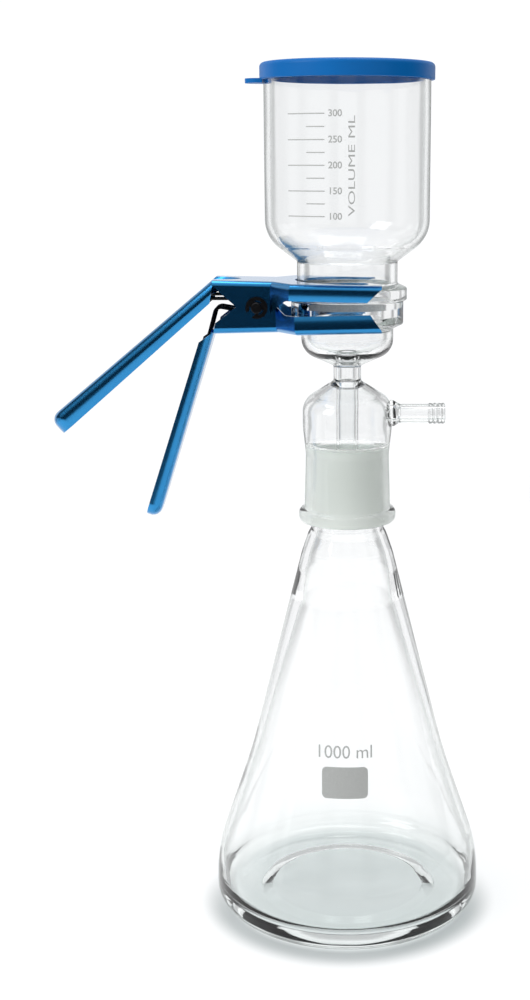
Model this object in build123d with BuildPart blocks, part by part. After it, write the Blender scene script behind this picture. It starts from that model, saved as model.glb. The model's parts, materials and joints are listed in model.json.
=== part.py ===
"""Vacuum filtration unit: conical receiver flask, filter base with sintered disc, graduated
funnel, push-on lid and the spring clamp that holds the funnel to the base.

Millimetres. Z is the common axis of the glassware, the flask stands on z = 0, the vacuum side
arm points along +X and the clamp handles point along -X."""

import os
from math import atan2, cos, radians, sin, tan

from build123d import *

# Receiver flask
flask_diameter = 131.0
flask_height = 232.0
flask_heel_round = 10.5
flask_heel_inner_round = 8.5
flask_heel_width = 21.5
flask_foot_round = 3.0
flask_punt_slope_width = 6.5
flask_punt_rise = 2.2
flask_base_thickness = 6.0
flask_belly_height = 26.0
flask_belly_bend_share = 0.85
flask_waist_share = 0.35
flask_waist_hollow = 3.1
flask_waist_round = 300.0
flask_shoulder_drop = 9.5
flask_shoulder_step = 3.25
flask_shoulder_round = 30.0
flask_shoulder_inner_round = 20.0
flask_ridge_drop = 23.0
flask_ridge_length = 14.0
flask_ridge_round = 14.0
flask_throat_step = 1.6
flask_throat_drop = 3.0
flask_throat_round = 8.0
flask_wall = 3.0
flask_shoulder_wall = 4.0
flask_neck_wall = 3.5
flask_ridge_wall = 5.7

# Ground joint between flask and filter base, taper 1 in 10 on diameter
joint_large_diameter = 34.5
joint_length = 35.0
joint_taper = 0.1
joint_gap = 0.05
joint_collar = 4.5

# Filter base
socket_wall = 3.3
socket_overhang = 1.5
socket_lead_in = 0.8
socket_shoulder_drop = 4.0
socket_shoulder_step = 1.0
socket_shoulder_round = 12.0
bead_radius = 23.2
bead_height = 6.0
bead_round = 2.6
bulb_radius = 21.2
bulb_height = 31.3
bulb_wall = 2.2
bulb_corner = 10.0
bulb_fall = 32.0
bulb_waist_rise = 9.0
bulb_waist_round = 30.0
bulb_inner_rise = 1.2
bulb_inner_round = 1.5
drip_radius = 5.15
drip_bore = 4.1
drip_length = 55.0
drip_seal_depth = 2.64
drip_end_round = 0.5
stem_radius = 6.5
stem_height = 7.2
bowl_radius = 21.6
bowl_depth = 17.5
bowl_wall = 2.5
bowl_corner = 9.0
bowl_fall = 24.0
base_flange_radius = 26.2
base_flange_thickness = 10.9
base_bevel_height = 2.4
base_ledge_rise = 3.0
flange_edge = 0.8
glass_round = 1.5

# Vacuum side arm
arm_rise = 15.5
arm_length = 25.1
arm_radius = 4.45
arm_bore = 2.9
barb_radius = 5.0
barb_round = 1.05
barb_count = 3
barb_pitch = 2.13
barb_start = 18.2
arm_end_round = 0.6
weld_radius = 6.4
weld_length = 3.6
weld_land = 0.4
weld_round = 3.0

# Sintered disc
frit_radius = 18.0
frit_thickness = 4.0
frit_gap = 0.05
frit_ledge = 1.5

# Funnel
funnel_radius = 38.1
funnel_wall = 2.7
funnel_height = 85.5
funnel_corner = 16.0
funnel_fall = 37.0
funnel_neck_radius = 23.4
funnel_neck_wall = 3.1
funnel_neck_height = 10.0
funnel_flange_radius = 27.8
funnel_flange_thickness = 5.7
funnel_flange_slope = 2.0
funnel_round = 1.2

# Lid
lid_fit = 0.08
lid_rim_gap = 0.1
lid_wall = 1.55
lid_skirt = 7.5
lid_top = 2.9
lid_crown = 0.8
lid_round = 2.0
lid_edge_round = 0.5
lid_mouth_round = 0.3
tab_length = 6.6
tab_width = 13.0
tab_corner = 5.85
tab_thickness = 2.0
tab_overlap = 0.6

# Clamp
toe_in = 1.2
sheet = 1.2
jaw_clearance = 0.3
slot_radius = 24.5
clamp_reach = 41.4
fork_length = 15.3
fork_half_width = 30.0
plate_length = 20.5
fold_radius = 3.0
upper_flare_start = 6.0
lower_flare_start = 8.5
flare_length = 9.0
ear_half_width = 17.0
ear_gap = 0.3
ear_radius = 6.0
upper_ear_turn = 38.0
lower_ear_turn = 52.0
upper_ear_back = 2.2
lower_ear_back = 5.0
upper_lip = 7.5
upper_lip_start = 13.5
upper_lip_corner = 3.0
upper_tip_cutback = 6.5
upper_tip_corner = 1.5
lower_lip = 8.5
lower_lip_start = 13.0
lower_lip_corner = 1.0
lower_tip_cutback = 5.0
lower_tip_corner = 4.5
upper_handle_length = 102.0
upper_handle_fall = 39.8
upper_handle_depth = 9.3
upper_handle_start_depth = 7.2
lower_handle_length = 93.5
lower_handle_fall = 72.4
lower_handle_depth = 6.4
lower_handle_start_depth = 5.4
lower_handle_lap = 1.8
handle_nesting = 2.0
upper_handle_end_half_width = 11.0
lower_handle_end_half_width = 9.0
handle_edge_round = 4.5
handle_end_round = 7.0
notch_length = 0.6
valley_radius = 9.0
valley_on_plate = 12.5
valley_on_handle = 28.0
cut_margin = 5.0

# Hinge pin, retaining clip and spring
pin_radius = 2.5
pin_fit = 0.05
pin_head_radius = 4.5
pin_head_thickness = 1.5
pin_end = 1.2
pin_chamfer = 0.4
groove_radius = 2.05
clip_radius = 5.0
clip_inner = 3.4
clip_thickness = 0.8
clip_gap = 0.05
clip_lug_width = 3.2
clip_lug_lap = 0.3
clip_opening = 3.2
clip_opening_angle = 45.0
clip_lugs = 3
wire_radius = 0.8
coil_clearance = 0.5
coil_whole_turns = 3
coil_gap = 0.2
coil_side_gap = 1.7
leg_rise_angle = 10.0
leg_rise_length = 19.0
leg_end_depth = 18.0
leg_bend = 3.0
wire_clearance = 0.3
wire_joint_swell = 0.1

os.makedirs("parts", exist_ok=True)

# Heights up the axis, each from the one below it
joint_bottom = flask_height - joint_length
socket_end = joint_bottom - socket_overhang
bulb_top = flask_height + bulb_height
bowl_bottom = bulb_top + stem_height
bevel_bottom = bowl_bottom + bowl_depth
flange_bottom = bevel_bottom + base_bevel_height
contact_height = flange_bottom + base_flange_thickness
funnel_flange_top = contact_height + funnel_flange_thickness
funnel_neck_bottom = funnel_flange_top + funnel_flange_slope
funnel_neck_top = funnel_neck_bottom + funnel_neck_height
funnel_rim = funnel_neck_top + funnel_height
joint_large_radius = joint_large_diameter / 2
joint_small_radius = joint_large_radius - joint_length * joint_taper / 2


def revolved(corners):
    """Turns a closed outline of (radius, height, rounding) corners about Z."""
    points = [(radius, height) for radius, height, rounding in corners]
    roundings = [rounding for radius, height, rounding in corners]
    with BuildPart() as turned:
        with BuildSketch(Plane.XZ):
            with BuildLine():
                FilletPolyline(*points, radius=roundings, close=True)
            make_face()
        revolve(axis=Axis.Z)
    return turned.part


# Receiver flask: one blown piece with a ground cone on its neck. Its wall is thickest at a ridge
# inside, a little below the shoulder.
flask_radius = flask_diameter / 2
flask_inner_radius = flask_radius - flask_wall
flask_floor = flask_punt_rise + flask_base_thickness
throat_radius = joint_large_radius + flask_throat_step
throat_top = joint_bottom - joint_collar
shoulder_height = throat_top - flask_throat_drop - flask_shoulder_drop
shoulder_radius = throat_radius + flask_shoulder_step
waist_height = flask_belly_height + flask_waist_share * (shoulder_height - flask_belly_height)
waist_radius = flask_radius - flask_waist_share * (flask_radius - shoulder_radius) - flask_waist_hollow
body_slope = (waist_radius - shoulder_radius) / (shoulder_height - waist_height)
ridge_height = shoulder_height - flask_ridge_drop
ridge_radius = shoulder_radius + body_slope * flask_ridge_drop
ridge_top = ridge_height + flask_ridge_length
ridge_top_radius = ridge_radius - body_slope * flask_ridge_length
belly_half_turn = atan2(flask_radius - waist_radius, waist_height - flask_belly_height) / 2
belly_bend = flask_belly_bend_share * (flask_belly_height - flask_heel_round)
belly_inner_bend = flask_belly_bend_share * (flask_belly_height - flask_floor - flask_heel_inner_round)
neck_bore_top = joint_small_radius - flask_neck_wall
neck_bore_bottom = joint_large_radius - flask_neck_wall
flask_outline = [
    (0, flask_punt_rise, 0),
    (flask_radius - flask_heel_width - flask_punt_slope_width, flask_punt_rise, glass_round),
    (flask_radius - flask_heel_width, 0, flask_foot_round),
    (flask_radius, 0, flask_heel_round),
    (flask_radius, flask_belly_height, belly_bend / tan(belly_half_turn)),
    (waist_radius, waist_height, flask_waist_round),
    (shoulder_radius, shoulder_height, flask_shoulder_round),
    (throat_radius, throat_top - flask_throat_drop, flask_throat_round),
    (joint_large_radius, throat_top, glass_round),
    (joint_large_radius, joint_bottom, 0),
    (joint_small_radius, flask_height, flange_edge),
    (neck_bore_top, flask_height, flange_edge),
    (neck_bore_bottom, throat_top, flask_throat_round),
    (shoulder_radius - flask_shoulder_wall, shoulder_height, flask_shoulder_inner_round),
    (ridge_top_radius - flask_shoulder_wall, ridge_top, flask_ridge_round),
    (ridge_radius - flask_ridge_wall, ridge_height, flask_ridge_round),
    (waist_radius - flask_wall, waist_height, flask_waist_round),
    (flask_inner_radius, flask_belly_height, belly_inner_bend / tan(belly_half_turn)),
    (flask_inner_radius, flask_floor, flask_heel_inner_round),
    (0, flask_floor, 0),
]
with BuildPart() as flask:
    add(revolved(flask_outline))
flask.part.label = "flask"
export_step(flask.part, "parts/flask.step")


# Filter base: ground flange, bowl, stem, bulb, drip tube, ground socket, one fused piece
def joint_radius(height):
    """Radius of the ground cone at a height."""
    return joint_large_radius - (height - joint_bottom) * joint_taper / 2


frit_bottom = contact_height - frit_thickness
frit_seat_radius = frit_radius + frit_gap
ledge_radius = frit_radius - frit_ledge
bowl_slope = tan(radians(bowl_fall))
bowl_inner_radius = bowl_radius - bowl_wall
bowl_corner_height = bowl_bottom + (bowl_radius - stem_radius) * bowl_slope
bowl_inner_bottom = bowl_bottom + bowl_wall / cos(radians(bowl_fall))
bulb_inner_radius = bulb_radius - bulb_wall
bulb_shoulder = bulb_top - (bulb_radius - stem_radius) * tan(radians(bulb_fall))
socket_outer_radius = joint_large_radius + socket_wall
socket_shoulder_radius = joint_small_radius + socket_wall + socket_shoulder_step
bead_top = socket_end + bead_height
drip_tip = bulb_top - drip_length
base_outline = [
    (base_flange_radius, contact_height, flange_edge),
    (base_flange_radius, flange_bottom, flange_edge),
    (bowl_radius, bevel_bottom, glass_round),
    (bowl_radius, bowl_corner_height, bowl_corner),
    (stem_radius, bowl_bottom, glass_round),
    (stem_radius, bulb_top, glass_round),
    (bulb_radius, bulb_shoulder, bulb_corner),
    (bulb_radius, flask_height + bulb_waist_rise, bulb_waist_round),
    (socket_shoulder_radius, flask_height - socket_shoulder_drop, socket_shoulder_round),
    (socket_outer_radius, bead_top + flange_edge, flange_edge),
    (bead_radius, bead_top, bead_round),
    (bead_radius, socket_end, bead_round),
    (joint_radius(socket_end) + joint_gap, socket_end, socket_lead_in),
    (joint_radius(flask_height) + joint_gap, flask_height, 0),
    (bulb_inner_radius, flask_height + bulb_inner_rise, bulb_inner_round),
    (bulb_inner_radius, bulb_shoulder - bulb_wall, bulb_corner - bulb_wall),
    (drip_radius, bulb_top - drip_seal_depth, glass_round),
    (drip_radius, drip_tip, drip_end_round),
    (drip_bore, drip_tip, drip_end_round),
    (drip_bore, bowl_inner_bottom, glass_round),
    (bowl_inner_radius, bowl_corner_height + bowl_wall, bowl_corner - bowl_wall),
    (bowl_inner_radius, flange_bottom, glass_round),
    (ledge_radius, flange_bottom + base_ledge_rise, flange_edge),
    (ledge_radius, frit_bottom, 0),
    (frit_seat_radius, frit_bottom, 0),
    (frit_seat_radius, contact_height, 0),
]
arm_height = flask_height + arm_rise
arm_start = bulb_inner_radius + bulb_wall / 2
arm_end = bulb_radius + arm_length
barb_height = arm_height + barb_radius - barb_round
barb_centres = [bulb_radius + barb_start + barb * barb_pitch for barb in range(barb_count)]
with BuildPart() as filter_base:
    add(revolved(base_outline))
    with BuildSketch(Plane.XZ):
        with BuildLine():
            FilletPolyline(
                (arm_start, arm_height),
                (arm_start, arm_height + weld_radius),
                (bulb_radius + weld_land, arm_height + weld_radius),
                (bulb_radius + weld_length, arm_height + arm_radius),
                (arm_end, arm_height + arm_radius),
                (arm_end, arm_height),
                radius=[0, 0, 0, weld_round, arm_end_round, 0],
                close=True,
            )
        make_face()
        for centre in [*barb_centres, arm_end - barb_round]:
            with Locations((centre, barb_height)):
                Circle(barb_round)
    revolve(axis=Axis((0, 0, arm_height), (1, 0, 0)))
    with BuildSketch(Plane.YZ.offset(bulb_inner_radius - bulb_wall)):
        with Locations((0, arm_height)):
            Circle(arm_bore)
    extrude(amount=arm_end, mode=Mode.SUBTRACT)
filter_base.part.label = "filter_base"
export_step(filter_base.part, "parts/filter_base.step")

# Sintered glass disc, flush with the ground face of the base
with BuildPart() as frit_disc:
    with BuildSketch(Plane.XY.offset(frit_bottom)):
        Circle(frit_radius)
    extrude(amount=frit_thickness)
frit_disc.part.label = "frit_disc"
export_step(frit_disc.part, "parts/frit_disc.step")

# Funnel: straight graduated wall, coned bottom, neck and ground flange
funnel_slope = tan(radians(funnel_fall))
funnel_inner_radius = funnel_radius - funnel_wall
funnel_inner_corner = funnel_corner - funnel_wall
funnel_neck_bore = funnel_neck_radius - funnel_neck_wall
funnel_cone_start = funnel_neck_top + funnel_wall / cos(radians(funnel_fall))
funnel_outline = [
    (funnel_neck_bore, contact_height, flange_edge),
    (funnel_flange_radius, contact_height, flange_edge),
    (funnel_flange_radius, funnel_flange_top, funnel_round),
    (funnel_neck_radius, funnel_neck_bottom, funnel_round),
    (funnel_neck_radius, funnel_neck_top, funnel_round),
    (funnel_radius, funnel_neck_top + (funnel_radius - funnel_neck_radius) * funnel_slope, funnel_corner),
    (funnel_radius, funnel_rim, funnel_round),
    (funnel_inner_radius, funnel_rim, funnel_round),
    (
        funnel_inner_radius,
        funnel_cone_start + (funnel_inner_radius - funnel_neck_radius) * funnel_slope,
        funnel_inner_corner,
    ),
    (funnel_neck_bore, funnel_cone_start - funnel_neck_wall * funnel_slope, glass_round),
]
with BuildPart() as funnel:
    add(revolved(funnel_outline))
funnel.part.label = "funnel"
export_step(funnel.part, "parts/funnel.step")

# Lid: push-on cap with a pull tab at its lower rim
lid_inner_radius = funnel_radius + lid_fit
lid_outer_radius = lid_inner_radius + lid_wall
lid_ceiling = funnel_rim + lid_rim_gap
lid_shoulder = lid_ceiling + lid_top
lid_bottom = lid_shoulder - lid_skirt
lid_outline = [
    (0, lid_ceiling, 0),
    (lid_inner_radius, lid_ceiling, 0),
    (lid_inner_radius, lid_bottom, lid_mouth_round),
    (lid_outer_radius, lid_bottom, lid_edge_round),
    (lid_outer_radius, lid_shoulder, lid_round),
    (0, lid_shoulder + lid_crown, 0),
]
with BuildPart() as lid:
    add(revolved(lid_outline))
    with BuildSketch(Plane.XY.offset(lid_bottom - tab_thickness + tab_overlap)) as tab_plan:
        with Locations((-lid_outer_radius + (lid_wall - tab_length) / 2, 0)):
            Rectangle(tab_length + lid_wall, tab_width)
        fillet(tab_plan.vertices().group_by(Axis.X)[0], tab_corner)
        Circle(lid_inner_radius + lid_wall / 4, mode=Mode.SUBTRACT)
    extrude(amount=tab_thickness)
lid.part.label = "lid"
export_step(lid.part, "parts/lid.step")

# Clamp placing: each jaw's fork meets a flange slope at the slot's edge
upper_slope = funnel_flange_slope / (funnel_flange_radius - funnel_neck_radius)
lower_slope = base_bevel_height / (base_flange_radius - bowl_radius)
upper_seat = funnel_flange_top + (funnel_flange_radius - slot_radius) * upper_slope
lower_seat = flange_bottom - (base_flange_radius - slot_radius) * lower_slope
pin_height = (upper_seat + lower_seat) / 2
toe_cos = cos(radians(toe_in))
toe_sin = sin(radians(toe_in))
grip_height = (upper_seat - lower_seat) / 2 + jaw_clearance + sheet
plate_height = (grip_height + clamp_reach * toe_sin) / toe_cos
back = Vector(-1, 0, 0)
up = Vector(0, 0, 1)
pin_centre = back * clamp_reach + up * pin_height
upper_frame = Plane(pin_centre, x_dir=back * toe_cos + up * toe_sin, z_dir=up * toe_cos - back * toe_sin)
lower_frame = Plane(pin_centre, x_dir=back * toe_cos - up * toe_sin, z_dir=-up * toe_cos - back * toe_sin)
tip = -clamp_reach - fork_length


def side_plane(frame):
    """Plane of a jaw's side view: its X runs back to the handle, its Y out of the plate."""
    return Plane(frame.origin, x_dir=frame.x_dir, z_dir=-frame.y_dir)


def folded_plate(frame, half_width, flare_start, outline):
    """Fork plate with its sides folded in, trimmed to a side view of (x, y, rounding) corners."""
    end = plate_length + cut_margin
    shoulder = -flare_start - flare_length
    nose = tip - cut_margin
    side = [(end, half_width), (-flare_start, half_width)]
    side += [(shoulder, fork_half_width), (nose, fork_half_width)]
    other_side = [(x, -y) for x, y in reversed(side)]
    depth = plate_height + ear_radius + cut_margin
    view = side_plane(frame)
    with BuildPart() as plate:
        with BuildSketch(frame.offset(plate_height - depth)):
            Polygon(*side, *other_side, align=None)
        extrude(amount=depth)
        outward = Axis(frame.origin, frame.z_dir)
        outer_face = plate.faces().sort_by(outward)[-1]
        crosswise = outer_face.edges().filter_by(lambda edge: abs((edge % 0.5).dot(frame.y_dir)) > 0.95)
        fillet([edge for edge in outer_face.edges() if edge not in crosswise], fold_radius)
        offset(amount=-sheet, openings=plate.faces().sort_by(outward)[0])
        with BuildSketch(view) as silhouette:
            Polygon(*[(x, y) for x, y, rounding in outline], align=None)
            for x, y, rounding in outline:
                if rounding:
                    corner = silhouette.vertices().sort_by_distance(view.from_local_coords((x, y, 0)))[0]
                    fillet(corner, rounding)
            Circle(ear_radius)
        extrude(amount=2 * fork_half_width, both=True, mode=Mode.INTERSECT)
        with BuildSketch(frame):
            with Locations((-clamp_reach, 0)):
                Circle(slot_radius)
            with Locations((-clamp_reach - fork_length, 0)):
                Rectangle(2 * fork_length, 2 * slot_radius)
        extrude(amount=2 * plate_height, mode=Mode.SUBTRACT)
        with BuildSketch(view):
            Circle(pin_radius + pin_fit)
        extrude(amount=2 * fork_half_width, both=True, mode=Mode.SUBTRACT)
    return plate.part


def handle_frame(frame, angle):
    """Plane on a handle's outer face where it leaves the plate, its X down the handle."""
    along = frame.x_dir * cos(radians(angle)) - frame.z_dir * sin(radians(angle))
    outward = frame.x_dir * sin(radians(angle)) + frame.z_dir * cos(radians(angle))
    return Plane(frame.from_local_coords((plate_length, 0, plate_height)), x_dir=along, z_dir=outward)


def channel_handle(frame, length, half_width, end_half_width, start_depth, depth, lap):
    """Tapered handle folded to a round-edged channel that deepens to a closed round end."""
    with BuildPart() as handle:
        side = [(-depth, half_width), (length, end_half_width)]
        other_side = [(x, -y) for x, y in reversed(side)]
        with BuildSketch(frame.offset(-depth)) as plan:
            Polygon(*side, *other_side, align=None)
            fillet(plan.vertices().group_by(Axis.X)[-1], handle_end_round)
        extrude(amount=depth)
        outward = Axis(frame.origin, frame.z_dir)
        outer_face = handle.faces().sort_by(outward)[-1]
        start = outer_face.edges().sort_by(Axis(frame.origin, frame.x_dir))[0]
        fillet([edge for edge in outer_face.edges() if edge != start], handle_edge_round)
        offset(amount=-sheet, openings=handle.faces().sort_by(outward)[0])
        with BuildSketch(side_plane(frame)):
            Polygon(
                (-lap, 0),
                (length + depth, 0),
                (length + depth, -depth),
                (length - handle_end_round, -depth),
                (notch_length + start_depth, -start_depth),
                (notch_length, -sheet),
                (-lap, -sheet),
                align=None,
            )
        extrude(amount=2 * half_width, both=True, mode=Mode.INTERSECT)
    return handle.part


def pressed_valley(frame, grip):
    """The stiffening valley across a bend: its sheet under the bend and the hollow above it."""
    start = frame.from_local_coords((plate_length - valley_on_plate, 0, plate_height))
    bend = frame.from_local_coords((plate_length, 0, plate_height))
    end = grip.from_local_coords((valley_on_handle, 0, 0))
    along = (end - start).normalized()
    outward = along.cross(frame.y_dir)
    crest = Plane(start + (outward - along) * valley_radius, x_dir=frame.y_dir, z_dir=along)
    length = (end - start).length + 2 * valley_radius
    view = side_plane(frame)
    wedge = [view.to_local_coords(point) for point in (start, bend, end)]
    with BuildPart() as hollow:
        with BuildSketch(crest):
            Circle(valley_radius)
        extrude(amount=length)
    with BuildPart() as pressing:
        with BuildSketch(crest):
            Circle(valley_radius + sheet)
        extrude(amount=length)
        with BuildSketch(view):
            Polygon(*[(point.X, point.Y) for point in wedge], align=None)
        extrude(amount=valley_radius + sheet, both=True, mode=Mode.INTERSECT)
    return pressing.part, hollow.part


# Upper jaw: outside ears that reach down past the pin
upper_ear_edge = ear_radius * cos(radians(upper_ear_turn))
upper_ear_drop = -ear_radius * sin(radians(upper_ear_turn))
upper_lip_edge = plate_height - upper_lip
upper_outline = [
    (tip, plate_height, 0),
    (plate_length, plate_height, 0),
    (plate_length, plate_height - upper_ear_back, 0),
    (upper_ear_edge, upper_ear_drop, 0),
    (-upper_ear_edge, upper_ear_drop, 0),
    (-upper_lip_start, upper_lip_edge, upper_lip_corner),
    (tip + upper_tip_cutback, upper_lip_edge, upper_tip_corner),
    (tip, plate_height - sheet, 0),
]
upper_grip = handle_frame(upper_frame, upper_handle_fall + toe_in)
upper_plate = folded_plate(upper_frame, ear_half_width, upper_flare_start, upper_outline)
upper_handle = channel_handle(
    upper_grip,
    upper_handle_length,
    ear_half_width,
    upper_handle_end_half_width,
    upper_handle_start_depth,
    upper_handle_depth,
    0,
)
valley_sheet, valley_hollow = pressed_valley(upper_frame, upper_grip)
with BuildPart() as upper_jaw:
    add(upper_plate)
    add(upper_handle)
    add(valley_sheet)
    add(valley_hollow, mode=Mode.SUBTRACT)
upper_jaw.part.label = "upper_jaw"
export_step(upper_jaw.part, "parts/upper_jaw.step")

# Lower jaw: its ears fit inside the upper ones
lower_ear_half_width = ear_half_width - sheet - ear_gap
lower_handle_half_width = ear_half_width - sheet - handle_nesting
lower_ear_edge = ear_radius * cos(radians(lower_ear_turn))
lower_ear_drop = -ear_radius * sin(radians(lower_ear_turn))
lower_lip_edge = plate_height - lower_lip
lower_outline = [
    (tip, plate_height, 0),
    (plate_length, plate_height, 0),
    (plate_length - sheet, plate_height - lower_ear_back, 0),
    (lower_ear_edge, lower_ear_drop, 0),
    (-lower_ear_edge, lower_ear_drop, 0),
    (-lower_lip_start, lower_lip_edge, lower_lip_corner),
    (tip + lower_tip_cutback, lower_lip_edge, lower_tip_corner),
    (tip, plate_height - sheet, 0),
]
lower_grip = handle_frame(lower_frame, toe_in - lower_handle_fall)
lower_plate = folded_plate(lower_frame, lower_ear_half_width, lower_flare_start, lower_outline)
lower_handle = channel_handle(
    lower_grip,
    lower_handle_length,
    lower_handle_half_width,
    lower_handle_end_half_width,
    lower_handle_start_depth,
    lower_handle_depth,
    lower_handle_lap,
)
with BuildPart() as lower_jaw:
    add(lower_plate)
    add(lower_handle)
lower_jaw.part.label = "lower_jaw"
export_step(lower_jaw.part, "parts/lower_jaw.step")

# Hinge pin through the four ears, its head at the back and its clip groove in front
pin_plane = Plane(pin_centre, x_dir=back, z_dir=back.cross(up) * -1)
pin_axis = Axis(pin_plane.origin, pin_plane.z_dir)
groove_start = ear_half_width + clip_gap
groove_end = groove_start + clip_thickness + clip_gap
with BuildPart() as pivot_pin:
    with BuildSketch(pin_plane.offset(-ear_half_width - pin_head_thickness)):
        Circle(pin_head_radius)
    extrude(amount=pin_head_thickness)
    fillet(pivot_pin.edges().sort_by(pin_axis)[0], pin_head_thickness / 2)
    with BuildSketch(pin_plane.offset(-ear_half_width)):
        Circle(pin_radius)
    extrude(amount=ear_half_width + groove_start)
    with BuildSketch(pin_plane.offset(groove_start)):
        Circle(groove_radius)
    extrude(amount=groove_end - groove_start)
    with BuildSketch(pin_plane.offset(groove_end)):
        Circle(pin_radius)
    extrude(amount=pin_end)
    chamfer(pivot_pin.edges().sort_by(pin_axis)[-1], pin_chamfer)
pivot_pin.part.label = "pivot_pin"
export_step(pivot_pin.part, "parts/pivot_pin.step")

# Retaining clip: an open ring whose three lugs sit in the pin's groove
clip_lug_angle = clip_opening_angle - 90
with BuildPart() as retaining_clip:
    with BuildSketch(pin_plane.offset(groove_start)):
        Circle(clip_radius)
        Circle(clip_inner, mode=Mode.SUBTRACT)
        with PolarLocations((groove_radius + clip_inner) / 2, clip_lugs, start_angle=clip_lug_angle):
            Rectangle(clip_inner - groove_radius + 2 * clip_lug_lap, clip_lug_width)
        Circle(groove_radius + clip_gap, mode=Mode.SUBTRACT)
        with PolarLocations(clip_radius, 1, start_angle=clip_opening_angle):
            Rectangle(2 * (clip_radius - groove_radius), clip_opening, mode=Mode.SUBTRACT)
    extrude(amount=clip_thickness)
retaining_clip.part.label = "retaining_clip"
export_step(retaining_clip.part, "parts/retaining_clip.step")

# Torsion spring: two coils on the pin, their outer ends free under the upper handle, their
# inner ends joined by a bridge inside the lower handle. Its own plane looks along the pin, with
# X back to the handles and the spring's middle on Z = 0.
coil_radius = pin_radius + coil_clearance + wire_radius
coil_pitch = 2 * wire_radius + coil_gap
coil_turns = coil_whole_turns + 0.5 + leg_rise_angle / 360
coil_start = sheet + wire_radius + coil_side_gap - lower_ear_half_width
coil_end = coil_start + coil_turns * coil_pitch
wire_seat = sheet + wire_radius + wire_clearance
spring_plane = Plane(pin_centre, x_dir=back, z_dir=-pin_plane.z_dir)
free_foot = spring_plane.to_local_coords(upper_grip.from_local_coords((0, 0, -wire_seat)))
free_reach = free_foot.X + (free_foot.Y - coil_radius) / tan(radians(upper_handle_fall))
leg_foot = spring_plane.to_local_coords(lower_grip.from_local_coords((0, 0, -wire_seat)))
leg_tip = spring_plane.to_local_coords(lower_grip.from_local_coords((leg_end_depth, 0, -wire_seat)))
leg_direction = Vector(cos(radians(leg_rise_angle)), sin(radians(leg_rise_angle)))
coil_side = Vector(0, 0, coil_end)
leg_root = Vector(leg_direction.Y, -leg_direction.X) * coil_radius + coil_side
leg_knee = leg_root + leg_direction * leg_rise_length
near_leg = [leg_root, leg_knee, leg_foot + coil_side, leg_tip + coil_side]
far_leg = [Vector(point.X, point.Y, -point.Z) for point in reversed(near_leg)]
with BuildPart() as leg_loop:
    with BuildLine() as route:
        FilletPolyline(*near_leg, *far_leg, radius=leg_bend)
    with BuildSketch(Plane(route.line @ 0, z_dir=route.line % 0)):
        Circle(wire_radius)
    sweep(path=route.line)
with BuildPart() as coil:
    with BuildLine(Plane.XY.offset(coil_start)) as turns:
        Helix(pitch=coil_pitch, height=coil_end - coil_start, radius=coil_radius)
    with BuildSketch(Plane(turns.line @ 0, z_dir=turns.line % 0)):
        Circle(wire_radius)
    sweep(path=turns.line, is_frenet=True)
with BuildPart() as full_spring:
    add(coil.part, rotation=(0, 0, 90))
    with Locations((0, coil_radius, coil_start), leg_root):
        Sphere(wire_radius + wire_joint_swell, rotation=(0, 0, 90))
    with BuildSketch(Plane.YZ):
        with Locations((coil_radius, coil_start)):
            Circle(wire_radius)
    extrude(amount=free_reach)
    mirror(about=Plane.XY)
    add(leg_loop.part)
with BuildPart() as torsion_spring:
    add(spring_plane.from_local_coords(full_spring.part))
torsion_spring.part.label = "torsion_spring"
export_step(torsion_spring.part, "parts/torsion_spring.step")
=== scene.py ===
"""Finishes a vacuum filtration unit: clear glassware with frosted joints and printed
graduations, a blue push-on lid, and a blue anodised spring clamp on a black hinge pin."""

import json
import math

import bpy
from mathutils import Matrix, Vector


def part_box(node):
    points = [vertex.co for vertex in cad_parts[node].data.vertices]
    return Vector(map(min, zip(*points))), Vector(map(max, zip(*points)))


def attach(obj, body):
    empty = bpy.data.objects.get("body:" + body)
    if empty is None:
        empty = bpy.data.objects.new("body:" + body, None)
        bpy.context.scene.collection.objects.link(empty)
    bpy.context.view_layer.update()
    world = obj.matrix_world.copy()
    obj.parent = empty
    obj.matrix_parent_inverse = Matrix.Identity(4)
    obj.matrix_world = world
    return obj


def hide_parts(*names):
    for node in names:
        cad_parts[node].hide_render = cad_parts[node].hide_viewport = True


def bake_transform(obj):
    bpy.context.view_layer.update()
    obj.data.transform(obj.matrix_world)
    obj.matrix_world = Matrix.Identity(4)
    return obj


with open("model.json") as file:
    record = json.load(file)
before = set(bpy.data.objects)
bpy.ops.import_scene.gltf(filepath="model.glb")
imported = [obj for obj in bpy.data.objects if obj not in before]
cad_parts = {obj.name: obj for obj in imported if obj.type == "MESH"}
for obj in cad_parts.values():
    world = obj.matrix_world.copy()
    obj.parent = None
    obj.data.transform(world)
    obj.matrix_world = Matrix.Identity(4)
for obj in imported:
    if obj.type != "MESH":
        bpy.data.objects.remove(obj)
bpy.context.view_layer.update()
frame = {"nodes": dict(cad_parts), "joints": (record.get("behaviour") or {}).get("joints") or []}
nodes = frame["nodes"]
bpy.ops.object.select_all(action="DESELECT")


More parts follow.
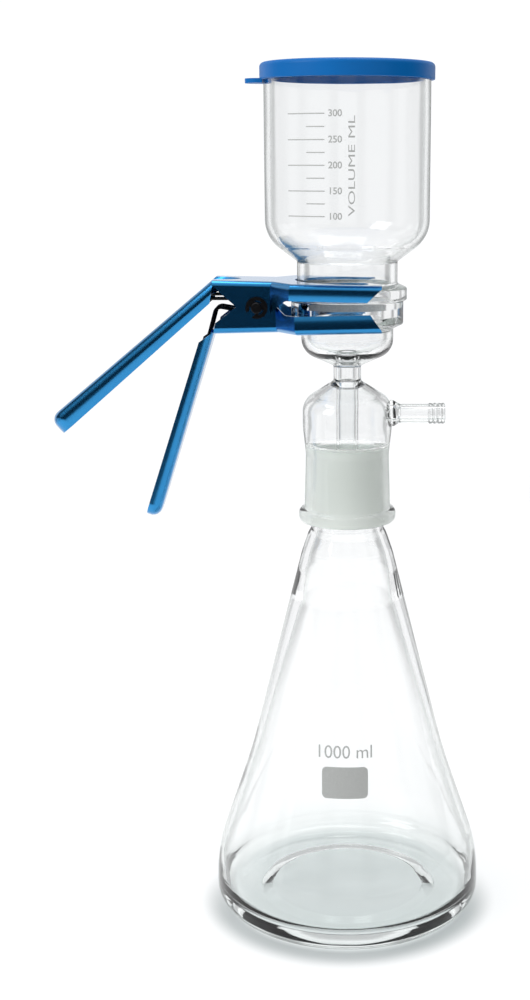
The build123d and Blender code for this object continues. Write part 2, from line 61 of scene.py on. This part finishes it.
# Receiver flask: heavy-walled borosilicate, blown in a mould and fire-polished. Its neck is a
# ground cone, frosted by the grinding, and its thick heel is tinted grey-green. Where the glass is
# seen edge on its colour is painted dark grey-green, painted shade that stands for the dark room
# seen through its edges; at the heel this painted edge is paler and greener.
class Field:
    """A value that varies over a surface. Arithmetic on it adds the shader's Math nodes."""

    def __init__(self, finish, socket):
        self.finish = finish
        self.socket = socket

    def maths(self, operation, *values):
        return self.finish.node("ShaderNodeMath", {"operation": operation}, dict(enumerate(values)))[0]

    def __add__(self, other):
        return self.maths("ADD", self, other)

    def __sub__(self, other):
        return self.maths("SUBTRACT", self, other)

    def __rsub__(self, other):
        return self.maths("SUBTRACT", other, self)

    def __mul__(self, other):
        return self.maths("MULTIPLY", self, other)

    def __pow__(self, other):
        return self.maths("POWER", self, other)

    def __abs__(self):
        return self.maths("ABSOLUTE", self)

    def __or__(self, other):
        return self.maths("MAXIMUM", self, other)

    def between(self, low, high):
        """0 below low, 1 above high and a soft step between them; low may be the larger."""
        return self.finish.node(
            "ShaderNodeMapRange",
            {"interpolation_type": "SMOOTHSTEP"},
            {"Value": self, "From Min": low, "From Max": high},
        )[0]


class Finish:
    """A material built node by node from each point's place in the object's own coordinates."""

    def __init__(self, name):
        self.material = bpy.data.materials.new(name)
        self.material.use_nodes = True
        self.tree = self.material.node_tree
        self.tree.nodes.clear()
        _, _, _, self.place, *_ = self.node("ShaderNodeTexCoord")
        self.x, self.y, self.z = self.node("ShaderNodeSeparateXYZ", {}, {0: self.place})
        self.radius = (self.x * self.x + self.y * self.y) ** 0.5

    def node(self, kind, settings=None, inputs=None):
        """Adds a node and returns its outputs."""
        node = self.tree.nodes.new(kind)
        for name, value in (settings or {}).items():
            setattr(node, name, value)
        for name, value in (inputs or {}).items():
            if isinstance(value, Field):
                self.tree.links.new(value.socket, node.inputs[name])
            else:
                node.inputs[name].default_value = value
        return [Field(self, socket) for socket in node.outputs]

    def noise(self, scale, detail=2.0, place=None):
        """Soft random blotches, scale of them to the metre."""
        return self.node(
            "ShaderNodeTexNoise", {}, {"Vector": place or self.place, "Scale": scale, "Detail": detail}
        )[0]

    def stretched(self, x, y, z):
        """The place with each axis multiplied, so that a pattern on it is drawn out."""
        return self.node("ShaderNodeMapping", {}, {"Vector": self.place, "Scale": (x, y, z)})[0]

    def blended(self, share, first, second):
        """The first colour turning into the second as share goes from 0 to 1."""
        return self.node("ShaderNodeMix", {"data_type": "RGBA"}, {0: share, 6: first, 7: second})[2]

    def bumped(self, height, distance):
        """A normal raised by height, a value from 0 to 1, times distance."""
        inputs = {"Height": height, "Distance": distance, "Strength": 1.0}
        return self.node("ShaderNodeBump", {}, inputs)[0]

    def surface(self, **inputs):
        """A Principled surface; each input is the socket's name with underscores for spaces."""
        named = {name.replace("_", " "): value for name, value in inputs.items()}
        return self.node("ShaderNodeBsdfPrincipled", {}, named)[0]

    def done(self, shader):
        self.node("ShaderNodeOutputMaterial", {}, {"Surface": shader})
        return self.material


glass_ior = 1.474
glass_roughness_matt = 0.6


def glass_finish(name, ground, slender=lambda finish: 0.0):
    """Clear borosilicate, which lets the lamps through. ground gives, from the finish's fields,
    where it is ground matt, and slender where a narrow tube gets broader painted dark edges."""
    finish = Finish(name)
    ripple = finish.noise(38.0, 1.0, finish.stretched(1.0, 1.0, 0.35))
    grain = finish.noise(2600.0, 3.0)
    heel = finish.z.between(0.030, 0.004)
    narrow = slender(finish)
    # The colour is painted dark grey-green where the surface is seen edge on: painted shade for the
    # dark room seen through the glass's edges, paler at the heel.
    facing = finish.node("ShaderNodeLayerWeight", {}, {"Blend": 0.5})[1]
    edge = facing.between(0.52 - narrow * 0.30, 0.98 - narrow * 0.22)
    head_on = finish.blended(heel, (0.985, 0.990, 0.990, 1), (0.915, 0.945, 0.935, 1))
    painted_dark_edge = finish.blended(heel, (0.31, 0.365, 0.345, 1), (0.46, 0.52, 0.50, 1))
    clear = finish.surface(
        Base_Color=finish.blended(edge, head_on, painted_dark_edge),
        Roughness=0.0,
        IOR=glass_ior,
        Transmission_Weight=1.0,
        Normal=finish.bumped(ripple, 0.0004),
    )
    matt = finish.surface(
        Base_Color=finish.blended(grain, (0.80, 0.83, 0.785, 1), (0.87, 0.90, 0.855, 1)),
        Roughness=glass_roughness_matt,
        IOR=glass_ior,
        Transmission_Weight=0.5,
        Normal=finish.bumped(grain, 0.00005),
    )
    solid = finish.node("ShaderNodeMixShader", {}, {0: ground(finish), 1: clear, 2: matt})[0]
    lit_through = finish.node("ShaderNodeBsdfTransparent", {}, {0: (0.885, 0.90, 0.90, 1)})[0]
    _, shadow_ray, diffuse_ray, *_ = finish.node("ShaderNodeLightPath")
    through = {0: shadow_ray | diffuse_ray, 1: solid, 2: lit_through}
    return finish.done(finish.node("ShaderNodeMixShader", {}, through)[0])


def repaint(piece, material):
    piece.data.materials.clear()
    piece.data.materials.append(material)


neck_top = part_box("flask")[1].z
socket_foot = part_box("filter_base")[0].z
flask_cone_inner = 0.0151


def flask_ground(finish):
    """The outside of the neck's cone, from the end of the base's socket up to the rim, and the
    rim's flat top."""
    up = finish.z.between(socket_foot - 0.0008, socket_foot + 0.0004)
    outside = finish.radius.between(flask_cone_inner - 0.0004, flask_cone_inner + 0.0002)
    rim = finish.z.between(neck_top - 0.0005, neck_top - 0.0001)
    return up * (outside | rim) * 0.9


repaint(nodes["flask"], glass_finish("flask_glass", flask_ground))


# Filter base: the same glass. A ground socket hangs round the flask's neck, a drip tube runs down
# inside it, and the bulb above carries the side arm and the holder for the frit.
socket_bore = 0.0176
arm_root = 0.0215


def base_ground(finish):
    """The socket's inner cone, from its foot up to where the flask's neck ends."""
    up = finish.z.between(socket_foot - 0.0004, socket_foot + 0.0002)
    below_end = finish.z.between(neck_top + 0.0006, neck_top - 0.0004)
    inside = finish.radius.between(socket_bore + 0.0003, socket_bore - 0.0003)
    outside_drip = finish.radius.between(0.0085, 0.0095)
    return up * below_end * inside * outside_drip


# Where the glass's painted dark edges are drawn broader.
def base_slender(finish):
    """The side arm, beyond the bulb."""
    return finish.x.between(arm_root, arm_root + 0.003)


repaint(nodes["filter_base"], glass_finish("base_glass", base_ground, base_slender))


# Frit: a disc of glass powder sintered until it is porous. It is dull and off-white, with a
# sugary grain, and it lies in the holder's seat.
def frit_finish():
    finish = Finish("sintered_frit")
    grain = finish.noise(1700.0, 4.0)
    cloud = finish.noise(120.0, 2.0)
    shade = finish.blended(grain.between(0.3, 0.7), (0.56, 0.57, 0.58, 1), (0.76, 0.77, 0.77, 1))
    return finish.done(
        finish.surface(
            Base_Color=finish.blended(cloud * 0.3, shade, (0.66, 0.67, 0.68, 1)),
            Roughness=0.92,
            IOR=glass_ior,
            Normal=finish.bumped(grain, 0.00012),
        )
    )


repaint(nodes["frit_disc"], frit_finish())


# Funnel: straight-walled borosilicate cylinder with a cone and a ground flange below. The clamp
# presses its flange on the holder's.
funnel_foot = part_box("funnel")[0].z


def funnel_ground(finish):
    """The flange's flat underside, ground so that it seals."""
    under = finish.z.between(funnel_foot + 0.00045, funnel_foot + 0.0002)
    return under * 0.35


repaint(nodes["funnel"], glass_finish("funnel_glass", funnel_ground))


# Graduations: pale grey enamel, silk-screened on the funnel and fired, so they stand a hair
# proud of the glass. Long marks carry numbers, and short ones stand halfway between them.
def enamel_finish():
    finish = Finish("fired_enamel")
    speck = finish.noise(3200.0, 3.0)
    pale = speck.between(0.35, 0.75)
    return finish.done(
        finish.surface(
            Base_Color=finish.blended(pale, (0.38, 0.39, 0.38, 1), (0.47, 0.48, 0.47, 1)),
            Roughness=speck * 0.2 + 0.45,
            Specular_IOR_Level=0.35,
            Normal=finish.bumped(speck, 0.00001),
        )
    )


enamel = enamel_finish()
funnel_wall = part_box("funnel")[1].x
enamel_lift = 0.00004
long_mark_levels = (0.3844, 0.3734, 0.3625, 0.3515, 0.3406)
long_mark_start = -43.2
short_mark_start = -28.2
mark_end = -14.6
mark_width = 0.0005
top_number = 300
number_step = 50
number_height = 0.0030
number_angle = -8.0
number_weight = 0.00008
words_height = 0.0031
words_stretch = 1.85
words_angle = 3.1
words_level = 0.3622


def edited(piece):
    """Makes a piece the only selected one, and opens it for editing with nothing picked."""
    bpy.ops.object.select_all(action="DESELECT")
    bpy.context.view_layer.objects.active = piece
    piece.select_set(True)
    bpy.ops.object.mode_set(mode="EDIT")
    bpy.ops.mesh.select_all(action="DESELECT")
    bpy.ops.object.mode_set(mode="OBJECT")


def pick_faces(piece, wanted):
    """Selects a piece's faces whose middle is wanted, and opens the piece for editing."""
    edited(piece)
    for face in piece.data.polygons:
        face.select = wanted(face.center)
    bpy.ops.object.mode_set(mode="EDIT")
    bpy.ops.mesh.select_mode(type="FACE")


def applied(piece, kind, **settings):
    """Adds a modifier with its settings and applies it."""
    bpy.context.view_layer.objects.active = piece
    modifier = piece.modifiers.new(kind, kind)
    for name, value in settings.items():
        setattr(modifier, name, value)
    bpy.ops.object.modifier_apply(modifier=modifier.name)


def settled(piece):
    """Puts a piece's place and turn into its mesh."""
    bpy.ops.object.select_all(action="DESELECT")
    bpy.context.view_layer.objects.active = piece
    piece.select_set(True)
    bpy.ops.object.transform_apply(location=True, rotation=True, scale=True)
    piece.select_set(False)


def joined(pieces, name):
    """Joins pieces into one."""
    bpy.ops.object.select_all(action="DESELECT")
    for piece in pieces:
        piece.select_set(True)
    bpy.context.view_layer.objects.active = pieces[0]
    bpy.ops.object.join()
    whole = bpy.context.object
    whole.name = name
    whole.data.name = name
    whole.select_set(False)
    return whole


def arc_mark(level, start, end):
    """A printed bar round the funnel's wall, between two angles from the front in degrees."""
    bpy.ops.mesh.primitive_cylinder_add(
        vertices=360,
        radius=funnel_wall + 0.00001,
        depth=mark_width,
        end_fill_type="NOTHING",
        location=(0, 0, level),
    )
    mark = bpy.context.object
    settled(mark)

    def outside(at):
        return not start < math.degrees(math.atan2(at.x, -at.y)) < end

    pick_faces(mark, outside)
    bpy.ops.mesh.delete(type="FACE")
    bpy.ops.object.mode_set(mode="OBJECT")
    applied(mark, "SOLIDIFY", thickness=enamel_lift, offset=1.0)
    return mark


capital_share = 0.73


def lettered(text, height, name, weight=0.0, lift=0.0):
    """Words as a mesh in the XZ plane, facing the front, with their middle at the origin. height
    is a capital's, weight fattens the strokes, and lift is the words' thickness."""
    bpy.ops.object.text_add(rotation=(math.radians(90), 0, 0))
    words = bpy.context.object
    words.data.body = text
    words.data.align_x = "CENTER"
    words.data.align_y = "CENTER"
    words.data.size = height / capital_share
    words.data.extrude = lift / 2
    words.data.offset = weight
    words.data.resolution_u = 4
    bpy.ops.object.convert(target="MESH")
    words = bpy.context.object
    words.name = name
    settled(words)
    return words


def wrapped(words, angle, level):
    """Rolls flat words round the funnel, their middle at an angle from the front and a height."""
    for vertex in words.data.vertices:
        across, depth, up = vertex.co
        turn = math.radians(angle) + across / funnel_wall
        radius = funnel_wall + enamel_lift - depth
        vertex.co = (radius * math.sin(turn), -radius * math.cos(turn), up + level)
    return words


marks = [arc_mark(level, long_mark_start, mark_end) for level in long_mark_levels]
marks += [
    arc_mark((upper + lower) / 2, short_mark_start, mark_end)
    for upper, lower in zip(long_mark_levels, long_mark_levels[1:])
]
numbers = []
for step, level in enumerate(long_mark_levels):
    volume = str(top_number - number_step * step)
    number = lettered(volume, number_height, f"number_{step}", number_weight, enamel_lift)
    numbers.append(wrapped(number, number_angle, level))
upright = lettered("VOLUME ML", words_height, "upright_words", lift=enamel_lift)
upright.rotation_euler = (0, math.radians(-90), 0)
settled(upright)
for vertex in upright.data.vertices:
    vertex.co.z *= words_stretch
numbers.append(wrapped(upright, words_angle, words_level))
graduations = joined(marks + numbers, "funnel_graduations")
repaint(graduations, enamel)
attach(graduations, "stand")


# Flask marks: the flask's capacity and a roughened patch for writing on, in the same enamel,
# fired on the front of its sloping wall.
before_flask = -0.075
capacity_height = 0.0061
capacity_middle = Vector((-0.0015, before_flask, 0.0935))
patch_middle = Vector((-0.0011, before_flask, 0.080))


def laid_on_flask(piece):
    """Lays a flat piece that stands before the flask on its wall, and gives it thickness."""
    applied(
        piece,
        "SHRINKWRAP",
        target=nodes["flask"],
        wrap_method="PROJECT",
        use_project_y=True,
        use_negative_direction=False,
        use_positive_direction=True,
        offset=0.00003,
    )
    applied(piece, "SOLIDIFY", thickness=enamel_lift, offset=0.0)
    repaint(piece, enamel)
    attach(piece, "stand")


capacity = lettered("1000 ml", capacity_height, "flask_capacity")
capacity.location = capacity_middle
settled(capacity)
laid_on_flask(capacity)

patch_half_width = 0.0108
patch_half_height = 0.0070
patch_corner = 0.0022
bpy.ops.mesh.primitive_grid_add(
    x_subdivisions=36, y_subdivisions=24, size=2, rotation=(math.radians(90), 0, 0)
)
patch = bpy.context.object
patch.name = "writing_patch"
patch.scale = (patch_half_width, patch_half_height, 1)
settled(patch)
for vertex in patch.data.vertices:
    beyond_x = max(0.0, abs(vertex.co.x) - (patch_half_width - patch_corner))
    beyond_z = max(0.0, abs(vertex.co.z) - (patch_half_height - patch_corner))
    reach = math.hypot(beyond_x, beyond_z)
    if reach > 0:
        keep = max(beyond_x, beyond_z) / reach
        vertex.co.x -= math.copysign(beyond_x * (1 - keep), vertex.co.x)
        vertex.co.z -= math.copysign(beyond_z * (1 - keep), vertex.co.z)
    vertex.co += patch_middle
laid_on_flask(patch)


# Lid: one push-on cap injection-moulded in blue polypropylene, satin, with a rolled lower edge
# and a finger tab.
def lid_finish():
    finish = Finish("blue_polypropylene")
    grain = finish.noise(900.0, 3.0)
    flow = finish.noise(45.0, 1.0)
    return finish.done(
        finish.surface(
            Base_Color=finish.blended(flow, (0.0002, 0.112, 0.375, 1), (0.0004, 0.134, 0.435, 1)),
            Roughness=grain * 0.12 + 0.34,
            IOR=1.49,
            Specular_IOR_Level=0.16,
            Normal=finish.bumped(grain, 0.00001),
        )
    )


repaint(nodes["lid"], lid_finish())


# Clamp jaws: two aluminium pressings, each a fork that holds one flange and a channel for a
# handle. They are tumbled so that their edges are rounded, then anodised blue, and the open
# edges of their walls curl inwards.
def anodised_finish():
    finish = Finish("blue_anodised_aluminium")
    rolled = finish.noise(240.0, 3.0, finish.stretched(0.12, 1.0, 1.0))
    grain = finish.noise(1500.0, 3.0)
    return finish.done(
        finish.surface(
            Base_Color=finish.blended(rolled, (0.004, 0.20, 0.49, 1), (0.007, 0.25, 0.57, 1)),
            Metallic=1.0,
            Roughness=grain * 0.08 + 0.18,
            Coat_Weight=0.75,
            Coat_Roughness=0.2,
            Normal=finish.bumped(grain, 0.000003),
        )
    )


def merged_copy(node, name):
    """A copy of a CAD node in one skin, so that its edges can be rounded."""
    piece = bpy.data.objects.new(name, nodes[node].data.copy())
    bpy.context.scene.collection.objects.link(piece)
    edited(piece)
    bpy.ops.mesh.customdata_custom_splitnormals_clear()
    bpy.ops.object.mode_set(mode="EDIT")
    bpy.ops.mesh.select_all(action="SELECT")
    bpy.ops.mesh.remove_doubles(threshold=1e-6)
    bpy.ops.object.mode_set(mode="OBJECT")
    return piece


hinge = next(joint for joint in frame["joints"] if joint["name"] == "jaw_hinge")
pin_axis = Vector(hinge["axis"]).normalized()
pin_point = Vector(hinge["pos_m"])
back = Vector((-1, 0, 0))
plate_height = 0.011863
plate_length = 0.0205
plate_fall = -1.2
fork_half_width = 0.030
edge_rounding = 0.00022
edge_slack = 0.0006
heel_notch = 0.0006
heel_clearance = 0.0012
handle_end_round = 0.007
curl_cuts = 5


class Pressing:
    """One straight stretch of a pressed jaw: where its open edge runs, which faces are its walls
    and how they curl in. The curl starts at height above the edge and is curl deep at it. It
    grows from inner to outer across the jaw, and outer narrows along the stretch."""

    def __init__(self, start, along, outward, within, height, curl, inner, outer, narrowing=0.0):
        self.start = start
        self.along = along
        self.outward = outward
        self.within = within
        self.height = height
        self.curl = curl
        self.inner = inner
        self.outer = outer
        self.narrowing = narrowing

    def scored(self, piece):
        """Cuts the stretch's walls along lines parallel to its edge, so that they can bend."""
        for step in range(1, curl_cuts + 1):
            pick_faces(piece, self.within)
            line = self.start + self.outward * (self.height * step / curl_cuts)
            bpy.ops.mesh.bisect(plane_co=line, plane_no=self.outward)
            bpy.ops.object.mode_set(mode="OBJECT")

    def curled(self, piece):
        """Bends the walls in towards the middle of the jaw, most at their open edge."""
        for vertex in piece.data.vertices:
            rise = (vertex.co - self.start).dot(self.outward)
            if -edge_slack < rise < self.height and self.within(vertex.co):
                reach = max(0.0, (vertex.co - self.start).dot(self.along))
                half_width = self.outer - self.narrowing * reach
                share = min(1.0, max(0.0, (abs(vertex.co.y) - self.inner) / (half_width - self.inner)))
                bend = self.curl * share * ((self.height - max(0.0, rise)) / self.height) ** 2
                vertex.co.y -= math.copysign(bend, vertex.co.y)


def tilted(side, fall):
    """A jaw's directions, back along a face and out of it. side is 1 for the upper jaw and -1 for
    the lower, and the face falls by fall degrees from its outer side."""
    turn = math.radians(fall)
    up = Vector((0, 0, side))
    return back * math.cos(turn) - up * math.sin(turn), up * math.cos(turn) + back * math.sin(turn)


def lip_of(side, lip, flare_start, ear_half_width, height, curl):
    """The fork's folded lip, which curls in under the plate."""
    along, outward = tilted(side, plate_fall)
    start = pin_point + outward * (plate_height - lip)

    def within(at):
        beyond_ears = abs(at.y) > ear_half_width + edge_slack
        return beyond_ears and (at - pin_point).dot(along) < -flare_start

    return Pressing(start, along, outward, within, height, curl, ear_half_width, fork_half_width)


def handle_of(side, fall, length, start_depth, depth, height, curl, half_width, taper):
    """A handle's two walls, which curl in towards its open edge. taper is how much narrower the
    handle is on each side at its end."""
    plate_along, plate_outward = tilted(side, plate_fall)
    heel = pin_point + plate_along * plate_length + plate_outward * plate_height
    along, outward = tilted(side, fall)
    first = heel + along * (heel_notch + start_depth) - outward * start_depth
    last = heel + along * (length - handle_end_round) - outward * depth
    edge = (last - first).normalized()
    rising = edge.cross(Vector((0, 1, 0)))
    if rising.dot(outward) < 0:
        rising = -rising

    def within(at):
        return (at - heel).dot(along) > heel_clearance

    return Pressing(first, edge, rising, within, height, curl, 0.0, half_width, taper / length)


anodised = anodised_finish()
jaw_stretches = {
    "upper_jaw": (
        lip_of(1, lip=0.0075, flare_start=0.006, ear_half_width=0.017, height=0.0044, curl=0.0008),
        handle_of(
            1,
            fall=39.8,
            length=0.102,
            start_depth=0.0072,
            depth=0.0093,
            height=0.0042,
            curl=0.0013,
            half_width=0.017,
            taper=0.006,
        ),
    ),
    "lower_jaw": (
        lip_of(-1, lip=0.0085, flare_start=0.0085, ear_half_width=0.0155, height=0.0062, curl=0.0015),
        handle_of(
            -1,
            fall=-72.4,
            length=0.0935,
            start_depth=0.0054,
            depth=0.0064,
            height=0.0030,
            curl=0.0007,
            half_width=0.0138,
            taper=0.0048,
        ),
    ),
}
for jaw, body in (("upper_jaw", "stand"), ("lower_jaw", "lower_jaw")):
    dressed = merged_copy(jaw, jaw + "_pressing")
    bpy.ops.object.mode_set(mode="EDIT")
    bpy.ops.mesh.select_all(action="SELECT")
    bpy.ops.mesh.dissolve_limited(angle_limit=math.radians(0.4))
    bpy.ops.object.mode_set(mode="OBJECT")
    applied(
        dressed,
        "BEVEL",
        width=edge_rounding,
        segments=2,
        limit_method="ANGLE",
        angle_limit=math.radians(40),
        harden_normals=False,
    )
    for stretch in jaw_stretches[jaw]:
        stretch.scored(dressed)
        stretch.curled(dressed)
    edited(dressed)
    bpy.ops.object.shade_smooth_by_angle(angle=math.radians(32))
    applied(dressed, "WEIGHTED_NORMAL", weight=60, keep_sharp=True)
    repaint(dressed, anodised)
    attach(dressed, body)
    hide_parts(jaw)


# Hinge pin and its clip: steel turned and stamped, blackened with oxide. The clip snaps into the
# pin's groove in front of the ears.
def black_steel_finish():
    finish = Finish("black_oxide_steel")
    worn = finish.noise(700.0, 3.0)
    return finish.done(
        finish.surface(
            Base_Color=finish.blended(worn, (0.010, 0.010, 0.011, 1), (0.028, 0.028, 0.030, 1)),
            Metallic=0.9,
            Roughness=worn * 0.18 + 0.26,
            Normal=finish.bumped(worn, 0.000008),
        )
    )


black_steel = black_steel_finish()
repaint(nodes["pivot_pin"], black_steel)
repaint(nodes["retaining_clip"], black_steel)


# Torsion spring: one blackened wire, two coils on the pin with a long loop between them. The
# free legs push the upper handle, the loop pushes the lower one, and the coils wind as it turns.
for side, name in ((1, "spring_behind"), (-1, "spring_in_front")):
    half = merged_copy("torsion_spring", name)
    bpy.ops.object.mode_set(mode="EDIT")
    bpy.ops.mesh.select_all(action="SELECT")
    bpy.ops.mesh.bisect(
        plane_co=pin_point,
        plane_no=pin_axis * side,
        use_fill=True,
        clear_inner=True,
    )
    bpy.ops.object.mode_set(mode="OBJECT")
    edited(half)
    bpy.ops.object.shade_smooth_by_angle(angle=math.radians(35))
    repaint(half, black_steel)
    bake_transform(half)
    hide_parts("torsion_spring")


# Studio: a white table, a white room, a soft key light from the upper left and a softbox above.
# Dark cards at the sides and in front give the glass its grey edges and the clamp its dark
# bands.
def stage_material(name, shade, roughness):
    finish = Finish(name)
    return finish.done(
        finish.surface(Base_Color=shade, Roughness=roughness, Specular_IOR_Level=0.3)
    )


def table_finish():
    """White laminate, which fades into the white of the room away from the object, with a painted
    shadow: a dim ring round the front and sides of the flask's foot."""
    finish = Finish("table_white")
    # Painted shadow: a ring just outside the flask's foot, fading out towards the back.
    painted_shadow_ring = finish.radius.between(0.056, 0.062) * finish.radius.between(0.076, 0.064)
    foot = painted_shadow_ring * finish.y.between(0.04, -0.03)
    # In the painted shadow the laminate's colour is painted darker and its glow is taken away.
    laminate = finish.surface(
        Base_Color=finish.blended(foot, (0.9, 0.9, 0.9, 1), (0.58, 0.60, 0.60, 1)),
        Roughness=0.14,
        Specular_IOR_Level=0.12,
        Emission_Color=finish.blended(foot, (1, 1, 1, 1), (0, 0, 0, 1)),
        Emission_Strength=0.08,
    )
    gone = finish.node("ShaderNodeBsdfTransparent")[0]
    away = finish.radius.between(0.3, 1.3)
    return finish.done(finish.node("ShaderNodeMixShader", {}, {0: away, 1: laminate, 2: gone})[0])


table_top = -0.0002
bpy.ops.mesh.primitive_circle_add(vertices=96, radius=6.0, fill_type="NGON", location=(0, 0, table_top))
floor = bpy.context.object
floor.name = "table"
settled(floor)
floor.data.materials.append(table_finish())


class Room(Finish):
    """The light of the room, built from the direction that it comes from."""

    def __init__(self, name):
        world = bpy.data.worlds.new(name)
        bpy.context.scene.world = world
        world.use_nodes = True
        self.tree = world.node_tree
        self.tree.nodes.clear()
        self.x, self.y, self.z = self.node(
            "ShaderNodeSeparateXYZ", {}, {0: self.node("ShaderNodeTexCoord")[0]}
        )


room = Room("white_room")
bearing = room.x.maths("ARCTAN2", room.y, room.x)
off_square = bearing.maths("PINGPONG", bearing, math.radians(45))
level = abs(room.z)
bar = off_square.between(0.20, 0.27) * off_square.between(0.55, 0.38) * level.between(0.55, 0.35)
cornice = room.z.between(0.40, 0.50) * room.z.between(0.85, 0.70)
shade = (1 - bar * 0.5) * (1 - cornice * 0.4)
camera_ray, *_ = room.node("ShaderNodeLightPath")
strength = camera_ray * 1.05 + (1 - camera_ray) * shade * 0.98
white = (0.985, 0.99, 1.0, 1)
backdrop = room.node("ShaderNodeBackground", {}, {"Color": white, "Strength": strength})
room.node("ShaderNodeOutputWorld", {}, {"Surface": backdrop[0]})


def card(name, place, turn, size, shade, sees):
    """A flat card that darkens what it faces. It is seen only by the rays that sees names, and
    throws no shadow."""
    bpy.ops.mesh.primitive_plane_add(size=1, location=place, rotation=turn)
    flag = bpy.context.object
    flag.name = name
    flag.scale = (size[0], size[1], 1)
    settled(flag)
    flag.data.materials.append(stage_material(name + "_face", shade, 0.9))
    flag.visible_camera = False
    flag.visible_shadow = False
    flag.visible_diffuse = "diffuse" in sees
    flag.visible_glossy = "glossy" in sees
    flag.visible_transmission = False


quarter = math.radians(90)
blue_black = (0.02, 0.024, 0.032, 1)
black = (0.02, 0.02, 0.02, 1)
card("front_card", (0.0, -0.80, 0.37), (quarter, 0, 0), (2.4, 0.76), blue_black, "glossy")
card("left_card", (-0.75, -0.25, 0.57), (0, quarter, 0), (0.66, 1.1), blue_black, "glossy")
card("right_card", (0.75, -0.15, 0.30), (0, quarter, 0), (1.0, 0.9), black, "diffuse glossy")


def soft_light(name, place, aim, size, power):
    bpy.ops.object.light_add(type="AREA", location=place)
    lamp = bpy.context.object
    lamp.name = name
    lamp.data.shape = "RECTANGLE"
    lamp.data.size = size[0]
    lamp.data.size_y = size[1]
    lamp.data.energy = power
    lamp.rotation_euler = (Vector(aim) - Vector(place)).to_track_quat("-Z", "Y").to_euler()


soft_light("key_light", (-1.1, -0.6, 1.1), (0, 0, 0.25), (0.7, 0.9), 9.0)
soft_light("top_light", (0.1, 0.2, 1.5), (0, 0, 0.2), (0.8, 0.8), 7.0)

bpy.ops.object.camera_add(location=(0, -0.7035, 0.3651), rotation=(math.radians(77.2), 0, 0))
camera = bpy.context.object
camera.data.lens = 54
camera.data.sensor_width = 36
camera.data.shift_x = -0.0823
bpy.context.scene.camera = camera
bpy.context.scene.view_settings.view_transform = "Standard"
